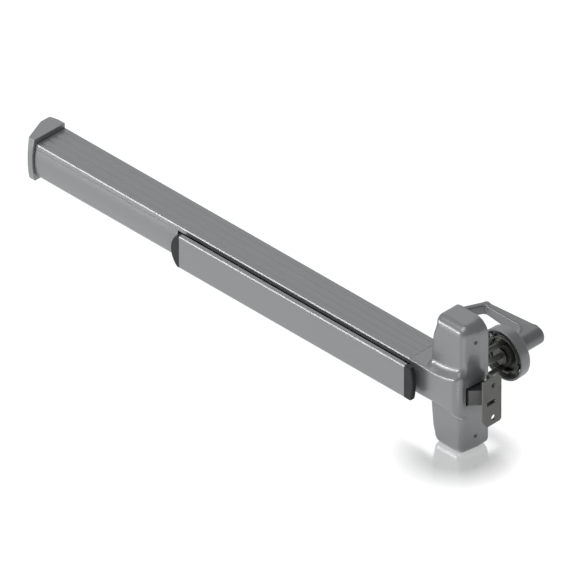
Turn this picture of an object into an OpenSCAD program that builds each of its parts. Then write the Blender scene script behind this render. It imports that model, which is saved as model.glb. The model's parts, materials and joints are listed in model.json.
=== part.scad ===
// Rim exit device: rail with a touch pad, latch head, strike, and outside lever on a round rose.
// Millimetres. +X runs along the rail toward the latch edge, +Y goes through the door to the
// outside, +Z is up. The origin lies on the door's inside face, at the rail's centre height.

/* [Rail] */
// Height of the rail
rail_h = 52.4; // [48:0.2:56]
// Depth of the rail from the door to its front edge
rail_d = 55; // [52:0.5:58]
// Far end of the rail, measured from the head's centre
rail_end = 775; // [700:5:1000]
// Near end of the rail, where it meets the head
rail_start = 61.7; // [61.6:0.1:64]
// Wall thickness of the extrusion
rail_t = 2.2; // [1.6:0.1:3]
// How far the front bulges at mid height
crown = 4.4; // [2:0.2:6]
// Pitch of the grooves on the top and bottom faces
groove_pitch = 12.5; // [10:0.5:14]
// Depth of the grooves
groove_depth = 0.6; // [0.2:0.1:1]

/* [Touch pad] */
// Left end of the pad's metal body
pad_x0 = -483; // [-490:1:-470]
// Right end of the pad's metal body
pad_x1 = -55; // [-60:1:-54]
// How far the pad's face stands out from the door
pad_front = 73; // [72:0.5:75]
// Depth of the pad's flanges
pad_flange = 7.2; // [6:0.2:9]
// Travel of the pad toward the door
pad_travel = 8; // [6:0.5:8]

/* [Head] */
// Top of the head cover
head_top = 106.6; // [100:0.2:110]
// Bottom of the head cover
head_bottom = -96.6; // [-100:0.2:-90]
// Front of the upper and lower blocks
block_front = 44.2; // [43:0.2:48]
// Front of the middle of the head
mid_front = 56; // [55.5:0.5:58]

/* [Latch] */
// Height of the latch bolt
bolt_h = 24; // [20:1:26]
// How far the latch bolt is drawn back
bolt_throw = 19; // [16:1:19]

/* [Outside trim] */
// Gap between the head and the rose: the door's thickness
door_t = 57.6; // [44.5:0.1:60]
// Height of the lever's axis above the rail's centre
trim_z = 5.6; // [5:0.2:6]
// Radius of the rose
rose_r = 39; // [36:0.5:42]
// Thickness of the rose
rose_t = 17; // [13:0.5:18]
// Distance between the two mounting posts
post_pitch = 41.2; // [38:0.2:44]

/* [Hidden] */
$fn = 48;

hz = rail_h / 2;                                  // half the rail's height
arc_r = (hz * hz + crown * crown) / (2 * crown);  // radius of the crowned front
arc_y = arc_r - rail_d - crown;                   // its centre, in Y
lip = 6.8;                                        // height of the rail's front lips
swing = 19;                                       // half the cranks' swing, in degrees
arm_a = pad_travel / (2 * tan(swing));            // crank arm to the pad's pin
arm_b = bolt_throw / (2 * tan(swing));            // crank arm to the rod's pin
crank_y = -38;                                    // the cranks' pivots
crank_xl = -410;
crank_xr = -150;
rod_y = crank_y + arm_b;
pad_pin_y = crank_y - pad_travel / 2;
gap = 0.3;

steel = [0.55, 0.56, 0.57];
dark = [0.16, 0.17, 0.17];
silver = [0.57, 0.59, 0.60];
strike_col = [0.40, 0.40, 0.39];

// ---------- helpers ----------
module along_x(x0, x1) { translate([x0, 0, 0]) rotate([90, 0, 90]) linear_extrude(x1 - x0) children(); }
module along_z(z0, z1) { translate([0, 0, z0]) linear_extrude(z1 - z0) children(); }
module ycyl(x, z, y0, y1, r) { translate([x, y1, z]) rotate([90, 0, 0]) cylinder(r = r, h = y1 - y0); }
module xcyl(y, z, x0, x1, r) { translate([x0, y, z]) rotate([0, 90, 0]) cylinder(r = r, h = x1 - x0); }
module zcyl(x, y, z0, z1, r) { translate([x, y, z0]) cylinder(r = r, h = z1 - z0); }
module box(a, b) { translate(a) cube(b - a); }

// a coil along +Z: mean radius, wire radius, height and turns
function ring(r, w, a, z, n) = [for (k = [0:n - 1]) let (t = 360 * k / n)
  [(r + w * cos(t)) * cos(a), (r + w * cos(t)) * sin(a), z + w * sin(t)]];
module coil(r, w, h, turns, seg = 14, n = 6) {
  m = seg * turns;
  pts = [for (i = [0:m]) each ring(r, w, 360 * turns * i / m, w + (h - 2 * w) * i / m, n)];
  faces = concat(
    [[for (k = [0:n - 1]) k]],
    [[for (k = [0:n - 1]) m * n + n - 1 - k]],
    [for (i = [0:m - 1], k = [0:n - 1])
      [i * n + k, (i + 1) * n + k, (i + 1) * n + (k + 1) % n]],
    [for (i = [0:m - 1], k = [0:n - 1])
      [i * n + k, (i + 1) * n + (k + 1) % n, i * n + (k + 1) % n]]);
  polyhedron(points = pts, faces = faces);
}

// ---------- rail ----------
// outline in Y (first) and Z (second): a box with a crowned front
module crowned(depth, half, radius, centre) {
  intersection() {
    translate([-depth - 20, -half]) square([depth + 20, 2 * half]);
    translate([centre, 0]) circle(r = radius, $fn = 160);
  }
}
module rail_outline() {
  difference() {
    crowned(rail_d, hz, arc_r, arc_y);
    for (s = [-1, 1], k = [0:3])
      translate([-10 - k * groove_pitch, s * hz]) circle(r = groove_depth * 1.25, $fn = 16);
  }
}
module rail() {
  color(silver) difference() {
    along_x(-rail_end, -rail_start) difference() {
      rail_outline();
      translate([-rail_d + rail_t - 0.2, -hz + rail_t]) square([rail_d - 2 * rail_t + 0.2, rail_h - 2 * rail_t]);
      translate([-rail_d - 12, -hz + lip]) square([30, rail_h - 2 * lip]);
    }
    // the back is open where the end bracket stands on the door
    box([-rail_end - 1, -rail_t - 1, -23.6], [-734, 1, 23.6]);
    // and over the base plate's joiner
    box([-80, -rail_t - 1, -14], [-rail_start + 1, 1, 14]);
    // rivets of the crank brackets
    for (x = [crank_xl, crank_xr], z = [-16, 16]) ycyl(x + 22, z, -6, 1, 2.1);
    // screws of the rod guides' feet and of the joiner
    for (z = [-17, 17]) ycyl(-90, z, -6, 1, 2.1);
  }
}
module rail_cover() {
  x0 = -rail_end + 0.6; x1 = -500.6;
  color(silver) union() {
    along_x(x0, x1) difference() {
      crowned(rail_d, hz - lip - 0.25, arc_r, arc_y);
      translate([arc_y, 0]) circle(r = arc_r - 1.8, $fn = 160);
    }
    // legs that reach behind the lips
    for (s = [-1, 1]) {
      mirror([0, 0, s < 0 ? 1 : 0]) along_x(x0, x1)
        polygon([[-56.6, hz - lip - 0.25], [-56.6, hz - lip - 2.2], [-48.5, hz - lip - 2.2], [-48.5, hz - 3],
          [-52.2, hz - 3], [-50.4, hz - lip - 0.25]]);
    }
  }
}

// ---------- far end ----------
cap_h = 33.8;
cap_r = 120;         // crown of the cap's front
cap_y = cap_r - 63;
module cap_plan(i = 0) {
  polygon([[-rail_end - 0.6, -67.9], [-rail_end - 0.6, -i], [-789.5 + i * 0.6, -i], [-802 + i, -3.6 - i * 0.4],
    [-802.4 + i, -20.5 - i * 0.1], [-786.6 + i, -59.5 + i * 0.2], [-786.6 + i, -67.9]]);
}
module end_cap() {
  color([0.5, 0.52, 0.53]) difference() {
    intersection() {
      along_z(-cap_h, cap_h) cap_plan();
      translate([-810, cap_y, 0]) rotate([0, 90, 0]) cylinder(r = cap_r, h = 60, $fn = 160);
    }
    intersection() {
      along_z(-cap_h + 2.6, cap_h - 2.6) translate([3, 0, 0]) cap_plan(2.6);
      translate([-810, cap_y, 0]) rotate([0, 90, 0]) cylinder(r = cap_r - 3.2, h = 60, $fn = 160);
      box([-810, -70, -40], [-rail_end + 5, -2.6, 40]);
    }
    xcyl(-11, 0, -806, -794, 2.15);
    xcyl(-11, 0, -806, -798, 4.1);
  }
}
module end_bracket() {
  color(steel) difference() {
    union() {
      box([-773, -4, -23.2], [-735, 0, 23.2]);
      for (s = [-1, 1]) box([-773, -42, s > 0 ? 21.4 : -23.4], [-735, -3, s > 0 ? 23.4 : -21.4]);
      box([-773, -20, -21.6], [-769.5, -3, 21.6]);
      box([-773, -18, -7], [-765, -4.5, 7]);
    }
    for (z = [-14, 14]) ycyl(-752, z, -5, 1, 3.1);
    xcyl(-11, 0, -774, -764, 1.95);
  }
}
module end_cap_screw() {
  color(steel) union() {
    difference() {
      xcyl(-11, 0, -800.6, -798.05, 3.9);
      xcyl(-11, 0, -801, -799.4, 1.7);
    }
    xcyl(-11, 0, -798.1, -766, 1.9);
  }
}

// ---------- head ----------
module base_plate() {
  color(steel) difference() {
    union() {
      rotate([90, 0, 0]) linear_extrude(3) rrect([-27, -87], [28, 99], 16);
      box([-60, -3, -23.2], [-20, 0, 23.2]);
      // ears that take the cover's screws
      for (z = [81, -72]) {
        box([24.4, -31, z - 7], [26.8, -2, z + 7]);
        xcyl(-23, z, 20.6, 24.5, 4);
      }
    }
    for (x = [-17, 17], z = [-80, 80]) ycyl(x, z, -5, 1, 3.25);
    ycyl(0, trim_z, -5, 1, 11);
    for (s = [-1, 1]) ycyl(0, trim_z + s * post_pitch / 2, -5, 1, 2.8);
    for (z = [81, -72]) xcyl(-23, z, 20, 30, 1.75);
    for (x = [-32, 20], z = [-20, 20]) ycyl(x, z, -5, 1, 1.75);
    for (z = [-17, 17]) ycyl(-52, z, -5, 1, 1.75);
  }
}
// rounded rectangle from its low corner to its high corner
module rrect(a, b, r) {
  translate([a[0] + r, a[1]]) square([b[0] - a[0] - 2 * r, b[1] - a[1]]);
  translate([a[0], a[1] + r]) square([b[0] - a[0], b[1] - a[1] - 2 * r]);
  for (x = [a[0] + r, b[0] - r], y = [a[1] + r, b[1] - r]) translate([x, y]) circle(r = r);
}
// upper and lower block, one body: rounded at the door, tapering to its front face
module tall(i = 0) {
  f = -block_front + i;
  intersection() {
    translate([0, i > 0 ? 1 : 0, 0]) rotate([90, 0, 0]) linear_extrude(block_front + 1)
      rrect([-31.4 + i, head_bottom + i], [32.4 - i, head_top - i], 16 - i);
    along_x(-40, 40) polygon([[2, head_top - i], [-16, head_top - i], [f + 6, head_top - 6 - i], [f, head_top - 13 - i],
      [f, head_bottom + 10 + i], [f + 6, head_bottom + 4 + i], [-16, head_bottom + i], [2, head_bottom + i]]);
    along_z(head_bottom - 1, head_top + 1) polygon([[-30 + i, 2], [-30 + i, -16], [-31.2 + i, f + 4], [-27.5 + i, f], [22.5 - i, f],
      [28 - i, f + 5.5], [32.4 - i, -18], [32.4 - i, 2]]);
  }
}
// half height of the middle: flush with the rail at the left, flared toward the latch edge
function flare(x) = x < -23 ? hz : hz + 12.2 * pow((x + 23) / 54, 2.0);
module middle(i = 0) {
  xs = [-61.7, for (x = [-23:4.5:31]) x];
  intersection() {
    along_z(-40, 40) union() {
      translate([-61.6 - (i > 0 ? 1 : 0), -mid_front + i]) square([78.6 + (i > 0 ? 1 : 0), mid_front - i + (i > 0 ? 1 : 0)]);
      translate([16, -mid_front + 14]) square([15 - i, mid_front - 14 + (i > 0 ? 1 : 0)]);
      translate([17, -mid_front + 14]) circle(r = 14 - i);
    }
    translate([0, 2, 0]) rotate([90, 0, 0]) linear_extrude(mid_front + 4)
      polygon([for (x = xs) [x - (x < -60 ? 2 : 0), flare(x) - i], for (k = [len(xs) - 1:-1:0]) [xs[k] - (xs[k] < -60 ? 2 : 0), i - flare(xs[k])]]);
  }
}
// the middle's shoulders: a second, taller layer that stays behind the front of the middle
module foot(i = 0) {
  intersection() {
    box([-29 + i, -50.5 + i, -50], [30.6 - i, i > 0 ? 1 : 0, 50]);
    translate([0, 2, 0]) rotate([90, 0, 0]) linear_extrude(mid_front + 4)
      polygon([for (x = [-29:6:31]) [x, flare(x) + 6 - i], for (x = [31:-6:-29]) [x, i - 6 - flare(x)]]);
  }
}
module head_cover() {
  color(silver) difference() {
    union() {
      tall();
      middle();
      foot();
    }
    tall(2.6);
    middle(2.6);
    foot(2.6);
    // window for the latch bolt
    box([20, -40.4, -13.6], [40, 1, 13.6]);
    for (z = [81, -72]) { xcyl(-23, z, 20, 40, 1.8); xcyl(-23, z, 30.6, 40, 2.5); }
  }
}
module cover_screws() {
  color(dark) for (z = [81, -72]) difference() {
    union() { xcyl(-23, z, 30.65, 31.7, 2.4); xcyl(-23, z, 21, 30.7, 1.7); }
    xcyl(-23, z, 31.0, 33, 1.2);
  }
}
module latch_guide() {
  color(steel) difference() {
    union() {
      for (s = [-1, 1]) {
        box([-38, -42, s > 0 ? 12.4 : -16], [27, -3.02, s > 0 ? 16 : -12.4]);
        box([-38, -5.6, s > 0 ? 15.9 : -23.2], [27, -3.02, s > 0 ? 23.2 : -15.9]);
      }
      box([-38, -42, -16], [27, -39.4, 16]);
      box([-38, -42, -16], [-35, -3.02, 16]);
    }
    // way for the link through the back wall
    box([-39, -26.5, -8], [-34, -3.5, 5]);
    // clear of the through bolts' heads
    for (s = [-1, 1]) ycyl(0, trim_z + s * post_pitch / 2, -9, -2, 5.6);
    for (x = [-32, 20], z = [-20, 20]) ycyl(x, z, -7, -2, 1.95);
  }
}
module guide_screws() {
  color(steel) for (x = [-32, 20], z = [-20, 20]) union() {
    ycyl(x, z, -8, -5.62, 2.8);
    ycyl(x, z, -5.7, -0.3, 1.7);
  }
}
module rail_joiner() {
  color(steel) difference() {
    union() {
      box([-98, -5, -23.6], [-62, -rail_t - 0.02, 23.6]);
      box([-64, -5, -19], [-46, -3.02, 19]);
      for (s = [-1, 1]) box([-98, -40, s > 0 ? 21.6 : -23.6], [-64, -2.3, s > 0 ? 23.6 : -21.6]);
    }
    for (z = [-17, 17]) ycyl(-90, z, -7, 1, 2.1);
    for (z = [-17, 17]) ycyl(-52, z, -7, 1, 1.95);
  }
}

// ---------- pad mechanism ----------
module crank_bracket(x) {
  // a channel on the rail's back: two cheeks that carry the pivot pin, joined by a foot
  color(steel) difference() {
    union() {
      for (s = [-1, 1]) along_z(s > 0 ? 9 : -11, s > 0 ? 11 : -9)
        polygon([[x - 9, -rail_t - 0.02], [x - 9, crank_y - 6], [x + 7, crank_y - 6], [x + 12, -24], [x + 30, -12], [x + 30, -rail_t - 0.02]]);
      box([x - 9, -3.8, -20.5], [x + 30, -rail_t - 0.02, 20.5]);
    }
    for (z = [-16, 16]) ycyl(x + 22, z, -6, 1, 2.1);
    zcyl(x, crank_y, -12, 12, 2.55);
  }
}
module crank_bracket_left() { crank_bracket(crank_xl); }
module crank_bracket_right() { crank_bracket(crank_xr); }
module crank_pins() {
  color(steel) for (x = [crank_xl, crank_xr]) union() {
    zcyl(x, crank_y, -13, 13, 2.5);
    zcyl(x, crank_y, 11.1, 12.6, 4);
    zcyl(x, crank_y, -12.6, -11.1, 4);
  }
}
module bracket_rivets() {
  color(steel) {
    for (x = [crank_xl, crank_xr], z = [-16, 16]) union() {
      ycyl(x + 22, z, -5.2, -3.82, 3.6);
      ycyl(x + 22, z, -4.5, -0.3, 2);
    }
    for (z = [-17, 17]) union() {
      ycyl(-90, z, -6.4, -5.02, 3.0);
      ycyl(-90, z, -5.1, -0.3, 2);
    }
    for (z = [-17, 17]) union() {
      ycyl(-52, z, -6.2, -5.02, 3.4);
      ycyl(-52, z, -5.1, -0.3, 1.7);
    }
  }
}
module rod_guides() {
  // two blocks that carry the rod clear of the rail's back
  color([0.85, 0.85, 0.82]) for (x = [-300, -225]) difference() {
    box([x - 8, rod_y - 9, -12], [x + 8, -rail_t - 0.02, 4]);
    box([x - 9, rod_y - 5.4, -7.4], [x + 9, rod_y + 5.4, -3.1]);
  }
}
// crank plate: hub, a fork toward the pad's pin, a fork toward the rod's pin
module crank(x) {
  color([0.62, 0.6, 0.5]) translate([x, crank_y, 0]) rotate([0, 0, -swing]) difference() {
    union() {
      zcyl(0, 0, -2.5, 2.5, 7);
      box([0, -5.8, -2.5], [arm_a + 6, 5.8, 2.5]);
      box([-6.4, 0, -2.5], [6.4, arm_b + 5.6, 2.5]);
    }
    box([arm_a - 2.6, -2.7, -3], [arm_a + 12, 2.7, 3]);
    box([-3, arm_b - 2.9, -3], [3, arm_b + 12, 3]);
    zcyl(0, 0, -3, 3, 2.55);
  }
}
module crank_left() { crank(crank_xl); }
module crank_right() { crank(crank_xr); }

module pad_section() {
  // in Y and Z: front wall, two flanges, and two hooked ribs that hold the brackets
  f = -pad_front;
  difference() {
    union() {
      difference() {
        union() {
          translate([f, -hz + 1.6]) square([pad_flange, rail_h - 3.2]);
          translate([f + 1.6, -hz]) square([pad_flange - 1.6, rail_h]);
          for (s = [-1, 1]) translate([f + 1.6, s * (hz - 1.6)]) circle(r = 1.6, $fn = 24);
        }
        translate([f + 2.2, -hz + 2.2]) square([20, rail_h - 4.4]);
      }
      for (s = [-1, 1]) {
        translate([f + 2, s * 13 - 0.9]) square([4.8, 1.8]);
        translate([f + 5.2, s > 0 ? 8.5 : -13.9]) square([1.6, 5.4]);
      }
    }
  }
}
module touch_pad() { color(silver) along_x(pad_x0, pad_x1) pad_section(); }
// end cap of the pad: bulged outline in the front view, with a tongue between the rail's lips
module pad_cap(dir, x, reach, off = 4.2) {
  r = (hz * hz + reach * reach) / (2 * reach);
  color(dark) union() {
    intersection() {
      box([dir > 0 ? x + 0.05 : x - 30, -pad_front, -hz], [dir > 0 ? x + 30 : x - 0.05, -pad_front + pad_flange, hz]);
      translate([x + dir * (reach + off - r), 0, 0]) rotate([90, 0, 0]) cylinder(r = r, h = 100, $fn = 96);
      rotate([90, 0, 0]) linear_extrude(100) rrect([x - 40, -hz], [x + (off > 5 ? off + reach : 40), hz], 3);
    }
    box([dir > 0 ? x - 3 : x - 11, -pad_front + 2.4, -11.9], [dir > 0 ? x + 11 : x + 3, -pad_front + 4.9, 11.9]);
    if (dir < 0) box([x - 11, -pad_front + 4, -17], [x - 0.05, -57, 17]);
  }
}
module pad_cap_left() { pad_cap(-1, pad_x0, 12.2); }
module pad_cap_right() { pad_cap(1, pad_x1, 3.2, 12.8); }
module pad_bracket(x) {
  // hat-shaped bracket: a flange held by the pad's ribs, two arms down into the rail
  px = x + arm_a;
  color(steel) difference() {
    union() {
      box([px - 22, -pad_front + 2.3, -11.8], [px + 14, -pad_front + 5.1, 11.8]);
      for (s = [-1, 1]) box([px - 4, -pad_front + 5, s > 0 ? 4 : -6], [px + 8, pad_pin_y + 5, s > 0 ? 6 : -4]);
    }
    zcyl(px, pad_pin_y, -8, 8, 2.3);
    for (dx = [-17, 11]) ycyl(px + dx, 0, -pad_front + 2, -pad_front + 6, 1.65);
  }
}
module pad_bracket_left() { pad_bracket(crank_xl); }
module pad_bracket_right() { pad_bracket(crank_xr); }
module pad_pins() {
  color(steel) for (x = [crank_xl, crank_xr]) union() {
    zcyl(x + arm_a, pad_pin_y, -7.5, 7.5, 2.25);
    for (z = [-7.4, 6.1]) zcyl(x + arm_a, pad_pin_y, z, z + 1.3, 3.2);
  }
}
module pad_screws() {
  color(steel) for (x = [crank_xl, crank_xr], dx = [-17, 11]) union() {
    ycyl(x + arm_a + dx, 0, -pad_front + 5.12, -pad_front + 7, 3);
    ycyl(x + arm_a + dx, 0, -pad_front + 2.4, -pad_front + 5.2, 1.6);
  }
}
module pad_bumpers() {
  // rubber stops inside the pad that meet the rail's lips at the end of the travel
  color(dark) for (x = [-465, -280, -75], s = [-1, 1])
    box([x - 7, -pad_front + 2.25, s > 0 ? 15.5 : -23.5], [x + 7, -pad_front + 7.4, s > 0 ? 23.5 : -15.5]);
}
module pad_spring(x) {
  color([0.6, 0.6, 0.6]) translate([x + arm_a - 46, -rail_t - 0.1, 2.6]) rotate([90, 0, 0])
    coil(4.6, 0.7, pad_front - rail_t - 7.05, 9);
}
module pad_spring_left() { pad_spring(crank_xl); }
module pad_spring_right() { pad_spring(crank_xr); }

// ---------- rod and latch ----------
rod_pl = crank_xl + arm_b * tan(swing);
rod_pr = crank_xr + arm_b * tan(swing);
module actuator_rod() {
  color(steel) difference() {
    union() {
      box([rod_pl - 8, rod_y - 5, -7], [-44, rod_y + 5, -3.5]);
      box([-60, -25, -7], [-44, rod_y + 5, -3.5]);
    }
    for (x = [rod_pl, rod_pr]) zcyl(x, rod_y, -8, -3, 2.3);
    zcyl(-52, -20, -8, -3, 2.55);
  }
}
module rod_pins() {
  color(steel) for (x = [rod_pl, rod_pr]) union() {
    zcyl(x, rod_y, -7, 4.4, 2.25);
    zcyl(x, rod_y, 3.0, 4.4, 3.4);
    zcyl(x, rod_y, -8.2, -7.02, 3.4);
  }
}
module rod_link() {
  color(steel) difference() {
    box([-57, -25, -3.48], [20, -15, 1.5]);
    zcyl(-52, -20, -5, 3, 2.55);
    box([-8, -22.4, -5], [16.4, -17.6, 3]);
  }
}
module link_pin() { color(steel) union() { zcyl(-52, -20, -8.2, 2.7, 2.5); zcyl(-52, -20, 1.52, 2.7, 4); zcyl(-52, -20, -8.2, -7.02, 4); } }
module latch_bolt() {
  h = bolt_h / 2;
  color([0.45, 0.45, 0.45]) difference() {
    along_z(-h, h) polygon([[4, -9], [51, -9], [52, -10], [52, -19.5], [33.4, -39], [4, -39]]);
    box([3, -26, -3.9], [24, -8, 1.9]);
    zcyl(14, -20, -9, 9, 2.05);
    xcyl(-32.5, 0, 3, 10, 6.5);
  }
}
module bolt_pin() { color(steel) zcyl(14, -20, -8.5, 8.5, 2); }
module latch_spring() {
  color([0.6, 0.6, 0.6]) translate([-34.9, -32.5, 0]) rotate([0, 90, 0]) coil(5.2, 0.6, 44.4, 9);
}

// ---------- outside trim ----------
rose_y = door_t;
module rose() {
  color([0.47, 0.49, 0.50]) translate([0, 0, trim_z]) rotate([-90, 0, 0]) rotate_extrude($fn = 96) difference() {
    union() {
      translate([0, rose_y]) square([rose_r, rose_t - 1.5]);
      translate([0, rose_y + 1]) square([rose_r - 1.5, rose_t - 1]);
      translate([rose_r - 1.5, rose_y + rose_t - 1.5]) circle(r = 1.5, $fn = 24);
    }
    translate([-1, rose_y - 1]) square([rose_r - 2, rose_t - 1.8]);
    translate([-1, rose_y - 1]) square([12.3, rose_t + 3]);
  }
}
module spring_cage() {
  // plate with a collar for the hub and a rim for the spring, open toward the door
  color(dark) difference() {
    translate([0, 0, trim_z]) rotate([-90, 0, 0]) rotate_extrude($fn = 72) union() {
      translate([9.9, rose_y + 9.0]) square([35.8 - 9.9, 2.9]);
      translate([9.9, rose_y + 0.5]) square([7.6, 9]);
      translate([27.5, rose_y + 3.5]) square([2, 6]);
    }
    for (a = [30, 150, 210, 330]) translate([0, 0, trim_z]) rotate([0, a, 0]) ycyl(32.4, 0, rose_y + 8, rose_y + 13, 1.9);
    // windows through the rim
    for (a = [0, 60, 120, 180, 240, 300]) translate([0, 0, trim_z]) rotate([0, a, 0])
      box([26, rose_y + 3, -5], [31, rose_y + 7.5, 5]);
    for (s = [-1, 1]) ycyl(0, trim_z + s * post_pitch / 2, rose_y - 1, rose_y + 9.0, 4.3);
  }
}
module cage_screws() {
  color(steel) for (a = [30, 150, 210, 330]) translate([0, 0, trim_z]) rotate([0, a, 0]) union() {
    ycyl(32.4, 0, rose_y + 7.4, rose_y + 8.98, 2.6);
    ycyl(32.4, 0, rose_y + 8.9, rose_y + 11.8, 1.8);
  }
}
module mounting_posts() {
  color(dark) for (s = [-1, 1]) difference() {
    union() {
      ycyl(0, trim_z + s * post_pitch / 2, 4, rose_y + 8.98, 4);
      ycyl(0, trim_z + s * post_pitch / 2, rose_y - 10, rose_y - 7, 5.2);
    }
    ycyl(0, trim_z + s * post_pitch / 2, 3, 40, 2.6);
  }
}
module through_bolts() {
  color(steel) for (s = [-1, 1]) union() {
    ycyl(0, trim_z + s * post_pitch / 2, -6.2, -3.02, 4.6);
    ycyl(0, trim_z + s * post_pitch / 2, -3.1, 32, 2.5);
  }
}
module lever_spring() {
  color(dark) translate([0, rose_y + 8.8, trim_z]) rotate([90, 0, 0]) coil(26, 0.8, 7.2, 3, 26, 6);
}
// lever: neck from the rose, grip along -X, and a leg that comes back toward the door
grip_y = door_t + 66.6;
module lever() {
  color([0.5, 0.51, 0.52]) translate([0, 0, trim_z]) union() {
    difference() {
      ycyl(0, 0, rose_y + rose_t + gap, grip_y + 6.3, 13.3);
      ycyl(0, 0, rose_y + rose_t - 1, rose_y + rose_t + 26, 9.05);
      xcyl(rose_y + rose_t + 8, 0, 0, 14, 2.2);
    }
    hull() {
      ycyl(4, 0, grip_y - 14, grip_y + 5, 12.4);
      zcyl(5, grip_y - 6, -9, 9, 12.2);
      box([-22, grip_y - 6.2, -11.6], [-14, grip_y + 5.8, 10.8]);
    }
    hull() {
      box([-24, grip_y - 6.0, -11.4], [-14, grip_y + 5.8, 10.6]);
      zcyl(-93, grip_y + 0.3, -9.4, 6.4, 2.8);
    }
    hull() {
      zcyl(-93, grip_y + 0.3, -9.4, 6.4, 2.8);
      zcyl(-118, 73, -7.4, 6.4, 3.4);
    }
  }
}
module lever_hub() {
  color(dark) difference() {
    union() {
      ycyl(0, trim_z, rose_y - 4, rose_y + rose_t + 25, 8.98);
      ycyl(0, trim_z, rose_y - 2.6, rose_y - 0.2, 9.6);
    }
    box([-3.2, rose_y - 10, trim_z - 3.2], [3.2, rose_y + 20, trim_z + 3.2]);
    xcyl(rose_y + rose_t + 8, trim_z, 0, 14, 2.15);
  }
}
module retaining_ring() {
  color(steel) difference() {
    ycyl(0, trim_z, rose_y - 1.4 - 2.6, rose_y - 2.62, 12.2);
    ycyl(0, trim_z, rose_y - 6, rose_y, 9.05);
    box([-2, rose_y - 6, trim_z - 14], [2, rose_y, trim_z]);
  }
}
module tailpiece() {
  color([0.2, 0.2, 0.2]) union() {
    box([-3, -8.3, trim_z - 3], [3, rose_y + 19, trim_z + 3]);
  }
}
module trim_cam() {
  color(steel) difference() {
    union() {
      ycyl(0, trim_z, -7.4, -4.2, 6.2);
      ycyl(0, trim_z - 10, -7.4, -4.2, 3);
      box([-3, -7.4, trim_z - 10], [3, -4.2, trim_z]);
    }
    box([-3.05, -9, trim_z - 3.05], [3.05, -1, trim_z + 3.05]);
  }
}
module lever_set_screw() { color(dark) xcyl(rose_y + rose_t + 8, trim_z, 5, 13.2, 2.1); }

// ---------- strike ----------
module strike_plate() {
  color(strike_col) difference() {
    box([59.5, -40.6, -37], [62.5, -5.4, 39.4]);
    translate([59, -5.4, 39.4]) rotate([45, 0, 0]) box([-1, -4, -4], [6, 4, 4]);
    translate([59, -5.4, -37]) rotate([45, 0, 0]) box([-1, -2, -2], [6, 2, 2]);
    // cut corner below the bolt
    along_x(59, 63) polygon([[-46, -26], [-40.6, -26], [-32.5, -37], [-32.5, -46], [-46, -46]]);
    for (z = [-26, 26]) xcyl(-20.5, z, 58, 64, 4);
    // adjusting slot at mid height
    for (y = [-31, -19]) xcyl(y, 0, 58, 64, 3);
    box([58, -31, -3], [64, -19, 3]);
    for (z = [-20, 20]) xcyl(-8, z, 58, 64, 1.6);
  }
}
module strike_keeper() {
  // lug behind the bolt: it holds the bolt's back face until the bolt is drawn
  color(strike_col) difference() {
    union() {
      box([55.5, -12, -30], [59.48, -5.4, 30]);
      box([36.5, -8.2, -24], [59.4, -3.1, 24]);
    }
    for (z = [-20, 20]) xcyl(-8, z, 50, 60, 1.6);
    for (z = [-26, 26]) xcyl(-20.5, z, 50, 60, 6);
  }
}
module strike_rivets() {
  color(steel) for (z = [-20, 20]) xcyl(-8, z, 52, 62.4, 1.55);
}

rail();
rail_cover();
end_cap();
end_bracket();
end_cap_screw();
base_plate();
head_cover();
cover_screws();
latch_guide();
guide_screws();
rail_joiner();
crank_bracket_left();
crank_bracket_right();
crank_pins();
bracket_rivets();
rod_guides();
rose();
spring_cage();
cage_screws();
mounting_posts();
through_bolts();
lever_spring();
touch_pad();
pad_cap_left();
pad_cap_right();
pad_bracket_left();
pad_bracket_right();
pad_pins();
pad_screws();
pad_bumpers();
pad_spring_left();
pad_spring_right();
crank_left();
crank_right();
actuator_rod();
rod_pins();
rod_link();
link_pin();
latch_bolt();
bolt_pin();
latch_spring();
lever();
lever_hub();
retaining_ring();
tailpiece();
trim_cam();
lever_set_screw();
strike_plate();
strike_keeper();
strike_rivets();
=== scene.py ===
"""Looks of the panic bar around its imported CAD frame: millimetres in the code, metres in the scene."""
import bpy
import bmesh
import json
import math
import numpy as np
from mathutils import Matrix, Vector


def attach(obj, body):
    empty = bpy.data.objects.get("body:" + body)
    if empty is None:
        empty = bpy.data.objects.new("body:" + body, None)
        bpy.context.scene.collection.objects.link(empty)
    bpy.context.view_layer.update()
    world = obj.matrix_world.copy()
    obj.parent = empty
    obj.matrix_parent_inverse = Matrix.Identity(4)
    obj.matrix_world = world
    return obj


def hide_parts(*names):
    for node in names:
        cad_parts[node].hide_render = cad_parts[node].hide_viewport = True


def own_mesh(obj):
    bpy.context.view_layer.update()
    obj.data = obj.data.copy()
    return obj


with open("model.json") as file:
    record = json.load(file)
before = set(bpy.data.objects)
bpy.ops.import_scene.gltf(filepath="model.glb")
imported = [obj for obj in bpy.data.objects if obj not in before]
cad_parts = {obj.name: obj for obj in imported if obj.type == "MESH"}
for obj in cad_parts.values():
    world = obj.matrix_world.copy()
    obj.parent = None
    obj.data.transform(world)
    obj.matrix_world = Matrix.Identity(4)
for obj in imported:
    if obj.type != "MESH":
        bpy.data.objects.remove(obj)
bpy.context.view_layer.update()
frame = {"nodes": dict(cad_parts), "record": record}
nodes = frame["nodes"]


MM = 0.001
coll = bpy.context.scene.collection


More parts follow.
